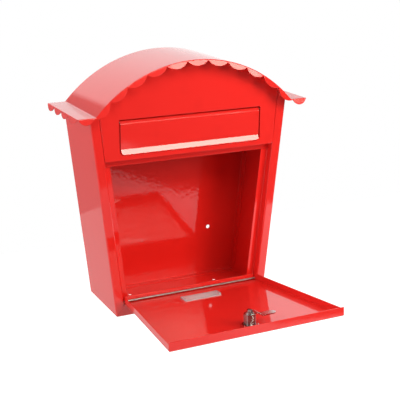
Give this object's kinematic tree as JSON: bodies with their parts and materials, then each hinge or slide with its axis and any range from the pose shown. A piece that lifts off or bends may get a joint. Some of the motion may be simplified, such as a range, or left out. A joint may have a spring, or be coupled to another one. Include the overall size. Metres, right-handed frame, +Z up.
{
  "type": "wall mounted post box",
  "caption": "Tapered sheet steel wall post box with an arched scalloped roof, a letter slot behind a flap, and a drop-down front door with a cam lock and viewing window.",
  "frame": {"origin": "middle of the four wall holes, in the plane of the wall", "axes": "+X to the right seen from the front, +Y into the wall, +Z up"},
  "size_m": [0.3586, 0.3151, 0.37],
  "materials": {
    "red_powder_coat": "gloss powder coat",
    "steel_rod": "drawn",
    "plated_lock": "bright nickel plate",
    "plated_steel": "bright zinc plate",
    "clear_window": "clear moulded"
  },
  "bodies": {
    "box": {"body_shell": "red_powder_coat", "back_panel": "red_powder_coat", "front_panel": "red_powder_coat", "roof": "red_powder_coat", "hinge_rod": "steel_rod", "flap_rod": "steel_rod", "flap_bracket_left": "red_powder_coat", "flap_bracket_right": "red_powder_coat"},
    "door": {"door_pan": "red_powder_coat", "view_window": "clear_window", "lock_barrel": "plated_lock", "lock_nut": "plated_lock"},
    "lock_core": {"lock_plug": "plated_lock", "stop_washer": "plated_steel", "lock_cam": "plated_steel", "cam_washer": "plated_steel", "cam_nut": "plated_steel"},
    "flap": {"letter_flap": "red_powder_coat"}
  },
  "joints": [
    {"name": "door_hinge", "type": "hinge", "parent": "box", "child": "door", "pos_m": [0, -0.1055, -0.1466], "axis": [-1, 0, 0], "range_deg": [0, 85.4]},
    {"name": "lock_turn", "type": "hinge", "parent": "door", "child": "lock_core", "pos_m": [0, -0.28715, -0.13499], "axis": [0, -0.0802, -0.9968], "range_deg": [0, 90]},
    {"name": "flap_hinge", "type": "hinge", "parent": "box", "child": "flap", "pos_m": [0, -0.1045, 0.1188], "axis": [-1, 0, 0], "range_deg": [0, 80]}
  ]
}
